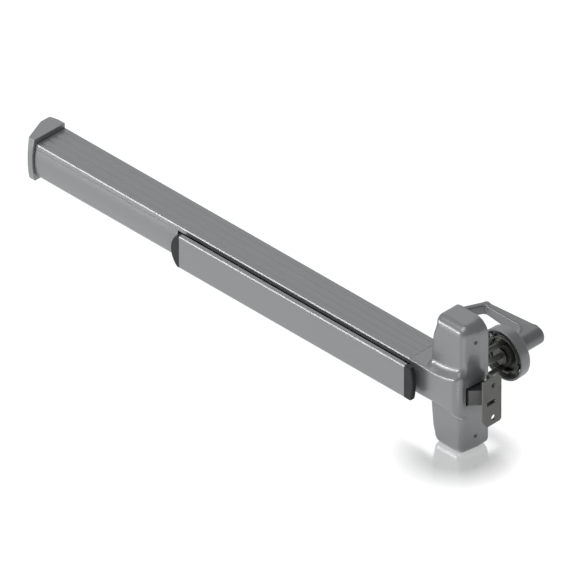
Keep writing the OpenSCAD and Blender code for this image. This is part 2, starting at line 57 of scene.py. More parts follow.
# ---------------------------------------------------------------- materials
class Mat:
    """A node material put together in a few calls."""

    def __init__(self, name, base, metallic, rough, spec=0.5):
        m = bpy.data.materials.new(name)
        m.use_nodes = True
        self.m = m
        self.t = m.node_tree
        self.n = self.t.nodes
        self.b = next(x for x in self.n if x.type == "BSDF_PRINCIPLED")
        self.b.inputs["Base Color"].default_value = (*base, 1)
        self.b.inputs["Metallic"].default_value = metallic
        self.b.inputs["Roughness"].default_value = rough
        self.b.inputs["Specular IOR Level"].default_value = spec
        self.base, self.rough = base, rough
        tc = self.n.new("ShaderNodeTexCoord")
        self.co = tc.outputs["Object"]

    def link(self, a, b):
        self.t.links.new(a, b)

    def noise(self, scale, detail=2.0, rough=0.5, stretch=None):
        co = self.co
        if stretch:
            mp = self.n.new("ShaderNodeMapping")
            mp.inputs["Scale"].default_value = stretch
            self.link(co, mp.inputs["Vector"])
            co = mp.outputs["Vector"]
        t = self.n.new("ShaderNodeTexNoise")
        t.inputs["Scale"].default_value = scale
        t.inputs["Detail"].default_value = detail
        t.inputs["Roughness"].default_value = rough
        self.link(co, t.inputs["Vector"])
        return t.outputs["Fac"]

    def ramp(self, fac, stops):
        r = self.n.new("ShaderNodeValToRGB")
        el = r.color_ramp.elements
        el[0].position, el[0].color = stops[0][0], (*stops[0][1], 1)
        el[1].position, el[1].color = stops[-1][0], (*stops[-1][1], 1)
        for p, c in stops[1:-1]:
            e = el.new(p)
            e.color = (*c, 1)
        self.link(fac, r.inputs["Fac"])
        return r.outputs["Color"]

    def mapr(self, fac, a, b, c, d):
        r = self.n.new("ShaderNodeMapRange")
        r.inputs["From Min"].default_value = a
        r.inputs["From Max"].default_value = b
        r.inputs["To Min"].default_value = c
        r.inputs["To Max"].default_value = d
        self.link(fac, r.inputs["Value"])
        return r.outputs["Result"]

    def mix(self, fac, a, b, mode="MIX"):
        r = self.n.new("ShaderNodeMix")
        r.data_type = "RGBA"
        r.blend_type = mode
        for k, v in ((0, fac), (6, a), (7, b)):
            s = r.inputs[k]
            if isinstance(v, (int, float)):
                s.default_value = v
            elif isinstance(v, tuple):
                s.default_value = (*v, 1)
            else:
                self.link(v, s)
        return r.outputs[2]

    def color(self, out):
        self.link(out, self.b.inputs["Base Color"])

    def roughness(self, out):
        self.link(out, self.b.inputs["Roughness"])

    def bump(self, heights, strength=1.0):
        """heights: list of (fac, metres)."""
        last = None
        for fac, dist in heights:
            bp = self.n.new("ShaderNodeBump")
            bp.inputs["Strength"].default_value = strength
            bp.inputs["Distance"].default_value = dist
            self.link(fac, bp.inputs["Height"])
            if last is not None:
                self.link(last, bp.inputs["Normal"])
            last = bp.outputs["Normal"]
        self.link(last, self.b.inputs["Normal"])

    def edges(self, lo, hi):
        g = self.n.new("ShaderNodeNewGeometry")
        return self.mapr(g.outputs["Pointiness"], lo, hi, 0.0, 1.0)


def tone(c, k):
    return tuple(min(1.0, x * k) for x in c)


def paint(name, base, metallic=0.35, rough=0.42, fleck=0.022, spec=0.5, grain=0.000004, streak=0.0):
    """Satin silver paint: fine metal flecks, a faint orange peel and, on drawn parts, streaks along X."""
    m = Mat(name, base, metallic, rough, spec)
    f = m.noise(2600, 2.0, 0.6)
    c = m.ramp(f, [(0.30, tone(base, 1 - fleck)), (0.5, base), (0.72, tone(base, 1 + 1.6 * fleck))])
    big = m.noise(22, 3.0, 0.5)
    c = m.mix(m.mapr(big, 0.3, 0.7, 0.0, 0.06), c, tone(base, 0.86))
    if streak:
        # drawing streaks, clearest on the faces that look up or down
        g = m.noise(420, 3.0, 0.6, stretch=(0.012, 1.0, 1.0))
        geo = m.n.new("ShaderNodeNewGeometry")
        sep = m.n.new("ShaderNodeSeparateXYZ")
        m.link(geo.outputs["True Normal"], sep.inputs[0])
        up = m.n.new("ShaderNodeMath")
        up.operation = "ABSOLUTE"
        m.link(sep.outputs["Z"], up.inputs[0])
        amt = m.n.new("ShaderNodeMath")
        amt.operation = "MULTIPLY"
        m.link(m.mapr(g, 0.38, 0.64, 0.0, 1.0), amt.inputs[0])
        m.link(m.mapr(up.outputs[0], 0.5, 0.95, 0.12, 1.0), amt.inputs[1])
        c = m.mix(amt.outputs[0], c, m.mix(1.0, c, (1 - streak,) * 3, "MULTIPLY"))
    m.color(c)
    m.roughness(m.mapr(m.noise(60, 4.0, 0.6), 0.3, 0.7, rough - 0.02, rough + 0.03))
    m.bump([(m.noise(700, 2.0), grain), (m.noise(3200, 1.0), grain * 0.35)])
    return m.m


def brushed(name, base, rough, axis, metallic=1.0, amount=0.10, spec=0.5):
    """Metal brushed along one axis (0, 1 or 2)."""
    m = Mat(name, base, metallic, rough, spec)
    st = [1.0, 1.0, 1.0]
    st[axis] = 0.03
    f = m.noise(1500, 3.0, 0.7, stretch=tuple(st))
    c = m.ramp(f, [(0.3, tone(base, 1 - amount)), (0.7, tone(base, 1 + amount))])
    c = m.mix(m.mapr(m.noise(45, 3.0), 0.35, 0.7, 0.0, 0.22), c, tone(base, 0.78))
    c = m.mix(m.mapr(m.edges(0.53, 0.60), 0, 1, 0.0, 0.4), c, tone(base, 1.5))
    m.color(c)
    m.roughness(m.mapr(f, 0.3, 0.7, rough - 0.05, rough + 0.08))
    m.bump([(f, 0.00001)])
    return m.m


def speckled(name, base, rough, metallic=1.0, amount=0.14, scale=700, spec=0.5):
    """Plated or blackened steel: cloudy, with fine mottling."""
    m = Mat(name, base, metallic, rough, spec)
    f = m.noise(scale, 3.0, 0.65)
    c = m.ramp(f, [(0.3, tone(base, 1 - amount)), (0.7, tone(base, 1 + amount))])
    c = m.mix(m.mapr(m.noise(60, 3.0), 0.35, 0.68, 0.0, 0.3), c, tone(base, 0.72))
    c = m.mix(m.mapr(m.edges(0.53, 0.60), 0, 1, 0.0, 0.5), c, tone(base, 1.8))
    m.color(c)
    m.roughness(m.mapr(m.noise(180, 3.0), 0.3, 0.7, rough - 0.06, rough + 0.08))
    m.bump([(f, 0.000012)])
    return m.m


def moulded(name, base, rough, grain=0.00003, scale=1400, spec=0.5):
    """Moulded plastic or rubber with a spark-eroded grain."""
    m = Mat(name, base, 0.0, rough, spec)
    f = m.noise(scale, 2.0, 0.6)
    c = m.ramp(f, [(0.3, tone(base, 0.85)), (0.7, tone(base, 1.18))])
    c = m.mix(m.mapr(m.edges(0.52, 0.60), 0, 1, 0.0, 0.35), c, tone(base, 1.9))
    m.color(c)
    m.roughness(m.mapr(m.noise(90, 3.0), 0.3, 0.7, rough - 0.05, rough + 0.06))
    m.bump([(f, grain)])
    return m.m


SILVER = (0.206, 0.213, 0.218)
M = {
    "rail_aluminium": paint("rail_aluminium", SILVER, 0.30, 0.30, spec=0.9, grain=0.0000010, streak=0.04),
    "cast_silver": paint("cast_silver", tone(SILVER, 1.02), 0.30, 0.29, fleck=0.014, spec=0.9, grain=0.000001),
    # trim_silver is a darker copy of the same silver paint: the lever's darker base is partly painted shade, standing
    # in for the head's shade on it
    "trim_silver": paint("trim_silver", tone(SILVER, 0.79), 0.30, 0.35, spec=0.75),
    "rose_silver": paint("rose_silver", tone(SILVER, 0.98), 0.30, 0.34, spec=0.9),
    "black_plastic": moulded("black_plastic", (0.012, 0.0135, 0.014), 0.42, spec=0.28),
    "rubber_stop": moulded("rubber_stop", (0.022, 0.022, 0.022), 0.8, 0.00004, 900),
    "zinc_steel": speckled("zinc_steel", (0.46, 0.47, 0.48), 0.34),
    "dark_steel": speckled("dark_steel", (0.125, 0.123, 0.117), 0.42, 0.8),
    "bolt_steel": brushed("bolt_steel", (0.074, 0.075, 0.073), 0.38, 1, 0.7),
    "strike_steel": brushed("strike_steel", (0.112, 0.112, 0.106), 0.42, 2, 0.5),
    "spring_steel": brushed("spring_steel", (0.36, 0.36, 0.36), 0.3, 0),
    "nylon": moulded("nylon", (0.60, 0.60, 0.56), 0.45, 0.00002),
}
slot_of = {s["node"]: s["material_slot"] for s in frame["record"]["subparts"]}
body_of = {n: b for b, ns in frame["record"]["behaviour"]["bodies"].items() for n in ns}


# ---------------------------------------------------------------- mesh helpers
def new_piece(name, verts, faces, smooth=True, normals=None):
    """verts in mm, in the row frame."""
    me = bpy.data.meshes.new(name)
    me.from_pydata([tuple(float(c) * MM for c in v) for v in verts], [], [tuple(int(i) for i in f) for f in faces])
    me.validate()
    me.update()
    if smooth:
        me.polygons.foreach_set("use_smooth", [True] * len(me.polygons))
    if normals is not None:
        me.normals_split_custom_set_from_vertices([tuple(float(c) for c in n) for n in normals])
    o = bpy.data.objects.new(name, me)
    coll.objects.link(o)
    return o


def finish_piece(o, *replaced, slot=None, body=None):
    slot = slot or slot_of[replaced[0]]
    o.data.materials.clear()
    o.data.materials.append(M[slot])
    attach(o, body or body_of[replaced[0]])
    if replaced:
        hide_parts(*replaced)
    return o


def sharpen(o, angle=32):
    """Smooth shading that keeps edges sharper than the angle."""
    bm = bmesh.new()
    bm.from_mesh(o.data)
    bmesh.ops.remove_doubles(bm, verts=bm.verts, dist=1e-7)
    bmesh.ops.recalc_face_normals(bm, faces=bm.faces)
    lim = math.radians(angle)
    for e in bm.edges:
        e.smooth = not (len(e.link_faces) == 2 and e.calc_face_angle(0) > lim)
    for f in bm.faces:
        f.smooth = True
    bm.to_mesh(o.data)
    bm.free()
    o.data.update()


def distinct(pts):
    """the outline without points that repeat the one before"""
    return [q for i, q in enumerate(pts) if math.hypot(q[0] - pts[i - 1][0], q[1] - pts[i - 1][1]) > 1e-5]


def outline_normals(o, pts, angle=28):
    """corner normals of an extrusion taken from its outline, whatever the faces were cut into"""
    pts = distinct(pts)
    n = len(pts)
    seg = []
    for i in range(n):
        (y0, z0), (y1, z1) = pts[i], pts[(i + 1) % n]
        ln = math.hypot(y1 - y0, z1 - z0)
        seg.append(((z1 - z0) / ln, (y0 - y1) / ln))
    near = {}
    for i, (y, z) in enumerate(pts):
        near[(round(y, 2), round(z, 2))] = (seg[i - 1], seg[i])
    lim = math.cos(math.radians(angle))
    me = o.data
    out = []
    for p in me.polygons:
        fn = p.normal
        for li in p.loop_indices:
            v = me.vertices[me.loops[li].vertex_index].co
            nn = Vector(fn)
            if abs(fn.x) < 0.1:
                pair = near.get((round(v.y / MM, 2), round(v.z / MM, 2)))
                if pair:
                    sgn = 1 if max(fn.y * q[0] + fn.z * q[1] for q in pair) > 0.9 else -1
                    keep = [q for q in pair if sgn * (fn.y * q[0] + fn.z * q[1]) > 0.5]
                    if len(keep) == 2 and keep[0][0] * keep[1][0] + keep[0][1] * keep[1][1] > lim:
                        nn = Vector((0, sgn * (keep[0][0] + keep[1][0]), sgn * (keep[0][1] + keep[1][1]))).normalized()
            out.append(tuple(nn))
    me.normals_split_custom_set(out)


def apply_mods(o):
    dg = bpy.context.evaluated_depsgraph_get()
    me = bpy.data.meshes.new_from_object(o.evaluated_get(dg))
    old = o.data
    o.modifiers.clear()
    o.data = me
    me.name = old.name
    bpy.data.meshes.remove(old)


def bevel(o, width, segments=3, angle=30, harden=True):
    b = o.modifiers.new("edge", "BEVEL")
    b.width = width * MM
    b.segments = segments
    b.limit_method = "ANGLE"
    b.angle_limit = math.radians(angle)
    b.harden_normals = harden
    b.miter_outer = "MITER_ARC"
    b.use_clamp_overlap = True
    return b


def arc(cy, cz, r, a0, a1, n):
    """points of an arc, angles in degrees"""
    return [(cy + r * math.cos(math.radians(a0 + (a1 - a0) * i / n)),
             cz + r * math.sin(math.radians(a0 + (a1 - a0) * i / n))) for i in range(n + 1)]


def extrude_x(name, pts, xs):
    """pts: closed outline in (Y, Z), counter-clockwise seen from +X; xs: stations along X."""
    pts = distinct(pts)
    n = len(pts)
    verts, faces = [], []
    for x in xs:
        verts += [(x, y, z) for y, z in pts]
    for s in range(len(xs) - 1):
        for i in range(n):
            j = (i + 1) % n
            faces.append((s * n + i, s * n + j, (s + 1) * n + j, (s + 1) * n + i))
    faces.append(tuple(range(n - 1, -1, -1)))
    faces.append(tuple((len(xs) - 1) * n + i for i in range(n)))
    o = new_piece(name, verts, faces, smooth=True)
    return o


def lathe_y(name, pts, cx, cz, n=128):
    """pts: closed outline in (radius, Y), turned about the Y axis through (cx, cz)."""
    k = len(pts)
    verts, faces = [], []
    for i in range(n):
        a = 2 * math.pi * i / n
        verts += [(cx + r * math.cos(a), y, cz + r * math.sin(a)) for r, y in pts]
    for i in range(n):
        j = (i + 1) % n
        for p in range(k):
            q = (p + 1) % k
            faces.append((i * k + p, j * k + p, j * k + q, i * k + q))
    return new_piece(name, verts, faces)


def cut(o, cutters):
    """subtracts closed meshes given as (verts, faces) in mm"""
    objs = []
    for k, (v, f) in enumerate(cutters):
        c = new_piece(f"cutter{k}", v, f, smooth=False)
        bm = bmesh.new()
        bm.from_mesh(c.data)
        bmesh.ops.recalc_face_normals(bm, faces=bm.faces)
        bm.to_mesh(c.data)
        bm.free()
        m = o.modifiers.new(f"cut{k}", "BOOLEAN")
        m.operation = "DIFFERENCE"
        m.solver = "EXACT"
        m.object = c
        objs.append(c)
    bpy.context.view_layer.update()
    apply_mods(o)
    for c in objs:
        bpy.data.objects.remove(c)


def box_mesh(a, b):
    v = [(x, y, z) for x in (a[0], b[0]) for y in (a[1], b[1]) for z in (a[2], b[2])]
    f = [(0, 1, 3, 2), (4, 6, 7, 5), (0, 4, 5, 1), (2, 3, 7, 6), (0, 2, 6, 4), (1, 5, 7, 3)]
    return v, f


def cyl_mesh(axis, c, r, lo, hi, n=40):
    """closed cylinder along an axis; c: the two other coordinates in x, y, z order"""
    v, f = [], []
    for t in (lo, hi):
        for i in range(n):
            a = 2 * math.pi * i / n
            p = [c[0] + r * math.cos(a), c[1] + r * math.sin(a)]
            p.insert(axis, t)
            v.append(tuple(p))
    for i in range(n):
        j = (i + 1) % n
        f.append((i, j, n + j, n + i))
    f.append(tuple(range(n - 1, -1, -1)))
    f.append(tuple(range(n, 2 * n)))
    return v, f


# ---------------------------------------------------------------- signed-distance modelling
def rmax(a, b, r):
    """intersection with a round edge of radius r"""
    return np.minimum(-r, np.maximum(a, b)) + np.hypot(np.maximum(r + a, 0), np.maximum(r + b, 0))


def rmin(a, b, r):
    """union with a fillet of radius r"""
    return np.maximum(r, np.minimum(a, b)) - np.hypot(np.maximum(r - a, 0), np.maximum(r - b, 0))


def sstep(x, a, b):
    t = np.clip((x - a) / (b - a), 0, 1)
    return t * t * (3 - 2 * t)


def sdf_piece(name, f, lo, hi, h, nf=None):
    """mesh of f = 0 by surface nets, with the vertices then moved onto the surface; mm"""
    ax = [np.arange(lo[i] - 1.5 * h, hi[i] + 1.6 * h, h) for i in range(3)]
    X, Y, Z = np.meshgrid(*ax, indexing="ij")
    V = f(X, Y, Z)
    nx, ny, nz = V.shape
    S = V < 0
    cells = [S[i:nx - 1 + i, j:ny - 1 + j, k:nz - 1 + k] for i in (0, 1) for j in (0, 1) for k in (0, 1)]
    cnt = sum(c.astype(np.int8) for c in cells)
    act = (cnt > 0) & (cnt < 8)
    idx = -np.ones(act.shape, np.int64)
    ci = np.argwhere(act)
    idx[act] = np.arange(len(ci))
    # vertex: mean of the edge crossings
    P = np.zeros((len(ci), 3))
    W = np.zeros(len(ci))
    corner = [(i, j, k) for i in (0, 1) for j in (0, 1) for k in (0, 1)]
    for a in corner:
        for d in range(3):
            if a[d] == 0:
                b = list(a)
                b[d] = 1
                va = V[ci[:, 0] + a[0], ci[:, 1] + a[1], ci[:, 2] + a[2]]
                vb = V[ci[:, 0] + b[0], ci[:, 1] + b[1], ci[:, 2] + b[2]]
                m = (va < 0) != (vb < 0)
                t = np.where(m, va / np.where(m, va - vb, 1), 0)
                q = np.repeat(np.array(a, float)[None], len(ci), 0)
                q[:, d] += t
                P[m] += q[m]
                W[m] += 1
    P = (P / W[:, None] + ci) * h + np.array([ax[0][0], ax[1][0], ax[2][0]])
    faces = []
    for d in range(3):
        e1, e2 = [(1, 2), (2, 0), (0, 1)][d]
        sl0 = [slice(1, n - 1) for n in V.shape]
        sl0[d] = slice(0, V.shape[d] - 1)
        sl1 = list(sl0)
        sl1[d] = slice(1, V.shape[d])
        A, B = S[tuple(sl0)], S[tuple(sl1)]
        for flip, mask in ((False, A & ~B), (True, ~A & B)):
            g = np.argwhere(mask)
            off = np.ones(3, int)
            off[d] = 0
            g = g + off
            q = []
            for (u, v) in ((1, 1), (0, 1), (0, 0), (1, 0)):
                c = g.copy()
                c[:, e1] -= u
                c[:, e2] -= v
                q.append(idx[c[:, 0], c[:, 1], c[:, 2]])
            q = np.stack(q, 1)
            faces.append(q[:, ::-1] if flip else q)
    F = np.concatenate(faces)

    def grad(P, e=0.04, fn=f):
        g = np.zeros_like(P)
        for d in range(3):
            s = np.zeros(3)
            s[d] = e
            g[:, d] = (fn(*(P + s).T) - fn(*(P - s).T)) / (2 * e)
        return g

    for _ in range(5):
        v = f(*P.T)
        g = grad(P)
        st = v[:, None] * g / np.maximum((g * g).sum(1), 0.05)[:, None]
        ln = np.linalg.norm(st, axis=1)
        st *= np.minimum(1, 0.45 * h / np.maximum(ln, 1e-9))[:, None]
        P -= st
    # even out the grid's spacing along the surface, keeping the points on it
    nb = np.concatenate([F[:, [0, 1]], F[:, [1, 2]], F[:, [2, 3]], F[:, [3, 0]]])
    for _ in range(2):
        acc = np.zeros_like(P)
        n = np.zeros(len(P))
        np.add.at(acc, nb[:, 0], P[nb[:, 1]])
        np.add.at(acc, nb[:, 1], P[nb[:, 0]])
        np.add.at(n, nb[:, 0], 1)
        np.add.at(n, nb[:, 1], 1)
        mean = acc / n[:, None]
        g = grad(P)
        g /= np.maximum(np.linalg.norm(g, axis=1), 1e-6)[:, None]
        d = mean - P
        d -= (d * g).sum(1)[:, None] * g
        Q = P + 0.5 * d
        v = f(*Q.T)
        g = grad(Q)
        st = v[:, None] * g / np.maximum((g * g).sum(1), 0.05)[:, None]
        ln = np.linalg.norm(st, axis=1)
        P = Q - st * np.minimum(1, 0.4 * h / np.maximum(ln, 1e-9))[:, None]
    g = grad(P, fn=nf or f)
    g /= np.maximum(np.linalg.norm(g, axis=1), 1e-6)[:, None]
    return new_piece(name, P, F, True, g)


# ---------------------------------------------------------------- rail and its filler
HZ, RD, RT, CROWN = 26.2, 55.0, 2.2, 4.4
ARC_R = (HZ * HZ + CROWN * CROWN) / (2 * CROWN)
ARC_Y = ARC_R - RD - CROWN
RAIL0, RAIL1 = -775.0, -61.6
LIP = 6.8


def front_y(z, off=0.0):
    return ARC_Y - math.sqrt((ARC_R - off) ** 2 - z * z)


def groove(y):
    """depth of the shallow grooves on the top and bottom faces"""
    d = 0.0
    for c in (-10.0, -22.5, -35.0, -47.5):
        t = abs(y - c) / 3.2
        if t < 1:
            d = max(d, 0.50 * (0.5 + 0.5 * math.cos(math.pi * t)))
    return d


def front_edge(yf, rs=0.6, ln=1.9):
    """top-front edge of the rail and the pad: a narrow facet with small rounds, from top to front"""
    z1 = HZ - rs - 0.866 * ln
    return arc(yf + rs + 0.5 * ln, HZ - rs, rs, 90, 150, 4) + arc(yf + rs, z1, rs, 150, 178, 2)


def rail_outline():
    """upper half, from the back's middle to the lip's inner edge, and back inside"""
    half = [(0.0, 0.0)]
    half += arc(-1.0, HZ - 1.0, 1.0, 0, 90, 5)
    y = -2.0
    while y > -52.6:
        half.append((y, HZ - groove(y)))
        y -= 0.65
    rc = 2.4
    half += front_edge(front_y(HZ - rc) + 0.05)
    z0 = HZ - LIP
    for k in range(1, 5):
        z = HZ - rc - (LIP - rc - 0.3) * k / 4
        half.append((front_y(z), z))
    half += arc(front_y(z0 + 0.3) + 0.3, z0 + 0.3, 0.3, 180, 270, 3)
    half.append((-53.2, z0))
    half.append((-53.0, z0 + 0.2))
    half.append((-53.0, HZ - RT - 0.6))
    half += arc(-52.4, HZ - RT - 0.6, 0.6, 180, 90, 3)
    half.append((-RT - 0.8, HZ - RT))
    half += arc(-RT - 0.8, HZ - RT - 0.8, 0.8, 90, 0, 3)
    half.append((-RT, 0.0))
    low = [(y, -z) for y, z in half[1:-1]][::-1]
    # outer loop upward, inner loop downward, then the mirror
    return half + low


rail = extrude_x("rail_body", rail_outline(), [RAIL0] + list(np.arange(-734.0, -80.0, 54.5)) + [-79.5, RAIL1])
holes = [box_mesh((RAIL0 - 1, -RT - 1, -23.6), (-734, 1, 23.6))]
for x in (-388.0, -128.0):
    for z in (-16, 16):
        holes.append(cyl_mesh(1, (x, z), 2.1, -6, 1, 24))
for z in (-17, 17):
    holes.append(cyl_mesh(1, (-90, z), 2.1, -6, 1, 24))
holes.append(box_mesh((-80, -RT - 1, -14), (RAIL1 + 1, 1, 14)))
cut(rail, holes)
sharpen(rail, 28)
outline_normals(rail, rail_outline())
finish_piece(rail, "rail")

c1 = HZ - LIP - 0.12
cover_half = [(front_y(0), 0.0)]
for k in range(1, 13):
    z = (c1 - 0.3) * k / 12
    cover_half.append((front_y(z), z))
cover_half += arc(front_y(c1 - 0.3) + 0.3, c1 - 0.3, 0.3, 176, 90, 4)
cover_half += [(-50.5, c1), (-52.2, HZ - 3), (-48.5, HZ - 3), (-48.5, c1 - 2.0), (-55.6, c1 - 2.0)]
for k in range(9, -1, -1):
    z = (c1 - 3.4) * k / 10
    cover_half.append((front_y(z, 1.8), z))
cover_half[-1] = (front_y(0, 1.8), 0.0)
cover_pts = cover_half + [(y, -z) for y, z in cover_half[1:-1]][::-1]
cover = extrude_x("rail_filler", cover_pts[::-1], [-774.4, -500.6])
sharpen(cover, 28)
finish_piece(cover, "rail_cover")

# ---------------------------------------------------------------- touch pad
PF, PFL = -73.0, 7.2


def pad_outline():
    half = [(PF, 0.0), (PF, 13.0)]
    half += front_edge(PF)[::-1]
    half += [(PF + PFL - 0.4, HZ), (PF + PFL, HZ - 0.4), (PF + PFL, HZ - 1.9), (PF + PFL - 0.3, HZ - 2.2)]
    half += arc(PF + 2.2 + 0.8, HZ - 3.0, 0.8, 90, 180, 3)
    half += [(PF + 2.2, 13.9), (PF + 6.8, 13.9), (PF + 6.8, 8.5), (PF + 5.2, 8.5), (PF + 5.2, 12.1), (PF + 2.2, 12.1), (PF + 2.2, 0.0)]
    return half + [(y, -z) for y, z in half[1:-1]][::-1]


pad = extrude_x("pad_body", pad_outline()[::-1], [-483.0, -55.0])
sharpen(pad, 28)
finish_piece(pad, "touch_pad")


def pad_cap(name, d, x0, reach, node, off=4.2, rc=1.2):
    """bulged end cap: outline in the front view, rounded toward the room"""
    r = (HZ * HZ + reach * reach) / (2 * reach)
    xc = x0 + d * (reach + off - r)
    yb = PF + PFL

    def f(X, Y, Z):
        o = np.hypot(X - xc, Z) - r
        o = rmax(o, np.abs(Z) - HZ, rc)
        o = rmax(o, PF - Y, 1.6)
        o = rmax(o, Y - yb, 0.6)
        o = np.maximum(o, d * (x0 - X) + 0.05)
        # shoulder ring that the metal body butts on, and the tongue inside it
        t = np.maximum(np.maximum(np.abs(Z) - 11.9, np.maximum(PF + 2.4 - Y, Y - (PF + 4.9))),
                       np.abs(X - (x0 + d * 4)) - 7)
        o = np.minimum(o, t)
        if d < 0:
            q = np.maximum(np.maximum(np.abs(Z) - 17, np.maximum(PF + 4 - Y, Y + 57)),
                           np.abs(X - (x0 - 5.5)) - 5.4)
            o = np.minimum(o, q)
        return o

    lo = (min(x0 - 3, x0 + d * (reach + off + 0.2)), PF, -HZ)
    hi = (max(x0 + 3, x0 + d * (reach + off + 0.2)), -56.9 if d < 0 else yb, HZ)
    o = sdf_piece(name, f, lo, hi, 0.75)
    return finish_piece(o, node)


pad_cap("pad_end_left", -1, -483.0, 12.2, "pad_cap_left")
pad_cap("pad_end_right", 1, -55.0, 3.2, "pad_cap_right", 12.8, 2.8)

# ---------------------------------------------------------------- end cap
CAP = [(-775.6, 0.0), (-789.5, 0.0), (-802.0, -3.6), (-802.4, -20.5), (-784.0, -66.0), (-775.6, -66.0)]
CAP_R = 120.0
CAP_Y = CAP_R - 63.0


def poly_sdf(px, py, pts, r):
    """convex outline, clockwise, with round corners of radius r"""
    d = None
    n = len(pts)
    for i in range(n):
        (x0, y0), (x1, y1) = pts[i], pts[(i + 1) % n]
        ex, ey = x1 - x0, y1 - y0
        ln = math.hypot(ex, ey)
        e = ((px - x0) * ey - (py - y0) * ex) / ln
        d = e if d is None else rmax(d, e, r)
    return d


def end_cap_f(X, Y, Z):
    area = sum(CAP[i][0] * CAP[(i + 1) % len(CAP)][1] - CAP[(i + 1) % len(CAP)][0] * CAP[i][1] for i in range(len(CAP)))
    pts = CAP if area > 0 else CAP[::-1]
    big = [(x + (6 if x > -776 else 0), y) for x, y in pts]
    plan = poly_sdf(X, Y, big, 1.3)
    crown = np.hypot(Y - CAP_Y, Z) - CAP_R
    o = rmax(plan, np.abs(Z) - 33.8, 1.2)
    o = rmax(o, crown, 1.3)
    inner = np.maximum(np.maximum(plan + 2.7, np.abs(Z) - 31.2), crown + 3.2)
    inner = np.maximum(inner, -795.4 - X)
    # a flange closes the cap around the rail's end
    inner = np.maximum(inner, np.minimum(X + 779.2, np.maximum(np.abs(Z) - 24.5, -54.0 - Y)))
    o = np.maximum(o, -inner)
    o = np.maximum(o, X + 775.6)
    hole = np.hypot(Y + 11, Z)
    o = np.maximum(o, -np.maximum(hole - 4.1, X + 798.0))
    o = np.maximum(o, -np.maximum(hole - 2.15, X + 794))
    return o


cap = sdf_piece("end_cap_cast", end_cap_f, (-802.6, -63.2, -34.0), (-775.4, 0.2, 34.0), 0.9)
finish_piece(cap, "end_cap")

# ---------------------------------------------------------------- head cover
TOP, BOT, BF, MF = 106.6, -96.6, -46.0, -56.0


def flare(x):
    return np.where(x < -23, HZ, HZ + 12.2 * (np.maximum(x + 23, 0) / 54) ** 2)


def head_solid(X, Y, Z, fillet):
    az = np.where(Z > 0, (Z - 34) / (TOP - 34), (-Z - 34) / (-BOT - 34))
    az = np.clip(az, 0, 1)
    fy = np.clip((-Y - 16) / 28, 0, 1)
    w = 1 - sstep(np.abs(Z), 26, 60)
    # sides: wider at the middle, leaning in toward the front
    low = Z < 0
    xl = np.where(low, -30.9 - fy * (1.5 - 6.0 * az), -31.2 - fy * (2.4 - 1.8 * az))
    xr = (32.4 - fy * (4.5 + 2.2 * az)) * (1 - w) + (32.4 - 2.2 * fy) * w
    yf = np.where(low, -46.2, -44.4 + 2.9 * az)
    rim = np.where(low, rmax(xl - X, BOT - Z, 12.5), rmax(xl - X, Z - TOP, 10.5))
    block = rmax(rim, yf - Y, 5.5 + 9.5 * sstep(Z, 70, 94) + 3.5 * sstep(-Z, 68, 84))
    # middle: an arm flush with the rail that flares into the blocks, with a crowned front
    mz = np.abs(Z) - flare(X) - np.where(low, 0.0, 3.5 * sstep(Y, -55.0, -45.0) * sstep(X, -40.0, -24.0))
    yfm = MF - 1.9 * (1 - np.clip(np.abs(Z) / (flare(X) + 4), 0, 1) ** 2) + 0.9
    mid = rmax(yfm - Y, mz, np.where(low, 6.0, 3.2) + np.where(low, 3.0, 3.8) * sstep(X, -45, 20))
    body = rmin(block, mid, np.where(low, 3.0, 8.6)) if fillet else np.minimum(block, mid)
    # the latch edge, rounded wider toward the door at the top and at the middle
    back = np.clip((Y + 46.0) / 46.0, 0, 1)
    rc = 9.0 + 14.0 * back * sstep(Z, 45, 75) + 5.0 * back * sstep(-Z, 45, 70) + 5.0 * w
    return rmax(X - xr, body, rc)


def head_open(X, Y, Z):
    """the casting before its arm is cut square where the rail comes in"""
    o = head_solid(X, Y, Z, True)
    shell = np.maximum(o, -(head_solid(X, Y, Z, False) + 2.6))
    # the back lies on the door
    shell = np.maximum(shell, Y)
    win = np.maximum(np.maximum(20 - X, np.abs(Z) - 13.6), -40.4 - Y)
    shell = rmax(shell, -win, 0.4)
    for z in (81, -72):
        d = np.hypot(Y + 23, Z - z)
        shell = np.maximum(shell, -np.maximum(d - 2.5, 30.6 - X))
        shell = np.maximum(shell, -np.maximum(d - 1.8, 20 - X))
    return shell


def head_f(X, Y, Z):
    return np.maximum(head_open(X, Y, Z), -61.6 - X)


head = sdf_piece("head_casting", head_f, (-61.8, -57.4, BOT - 0.2), (32.6, 0.2, TOP + 0.2), 1.0, head_open)
# square end where the rail comes in
hco = np.empty(len(head.data.vertices) * 3)
head.data.vertices.foreach_get("co", hco)
hco = hco.reshape(-1, 3)
end = (hco[:, 0] < -0.0608) & (np.abs(hco[:, 2]) > 0.0262 - 0.0008)
end |= (hco[:, 0] < -0.0608) & (hco[:, 1] < -0.0552)
hco[end, 0] = -0.0616
head.data.vertices.foreach_set("co", hco.ravel())
finish_piece(head, "head_cover")

# ---------------------------------------------------------------- outside lever and rose
TZ, DT, GY = 5.6, 57.6, 123.95


def seg2(px, py, ax, ay, bx, by):
    """distance to a segment in the plane, and the place along it"""
    dx, dy = bx - ax, by - ay
    t = np.clip(((px - ax) * dx + (py - ay) * dy) / (dx * dx + dy * dy), 0, 1)
    return np.hypot(px - ax - t * dx, py - ay - t * dy), t


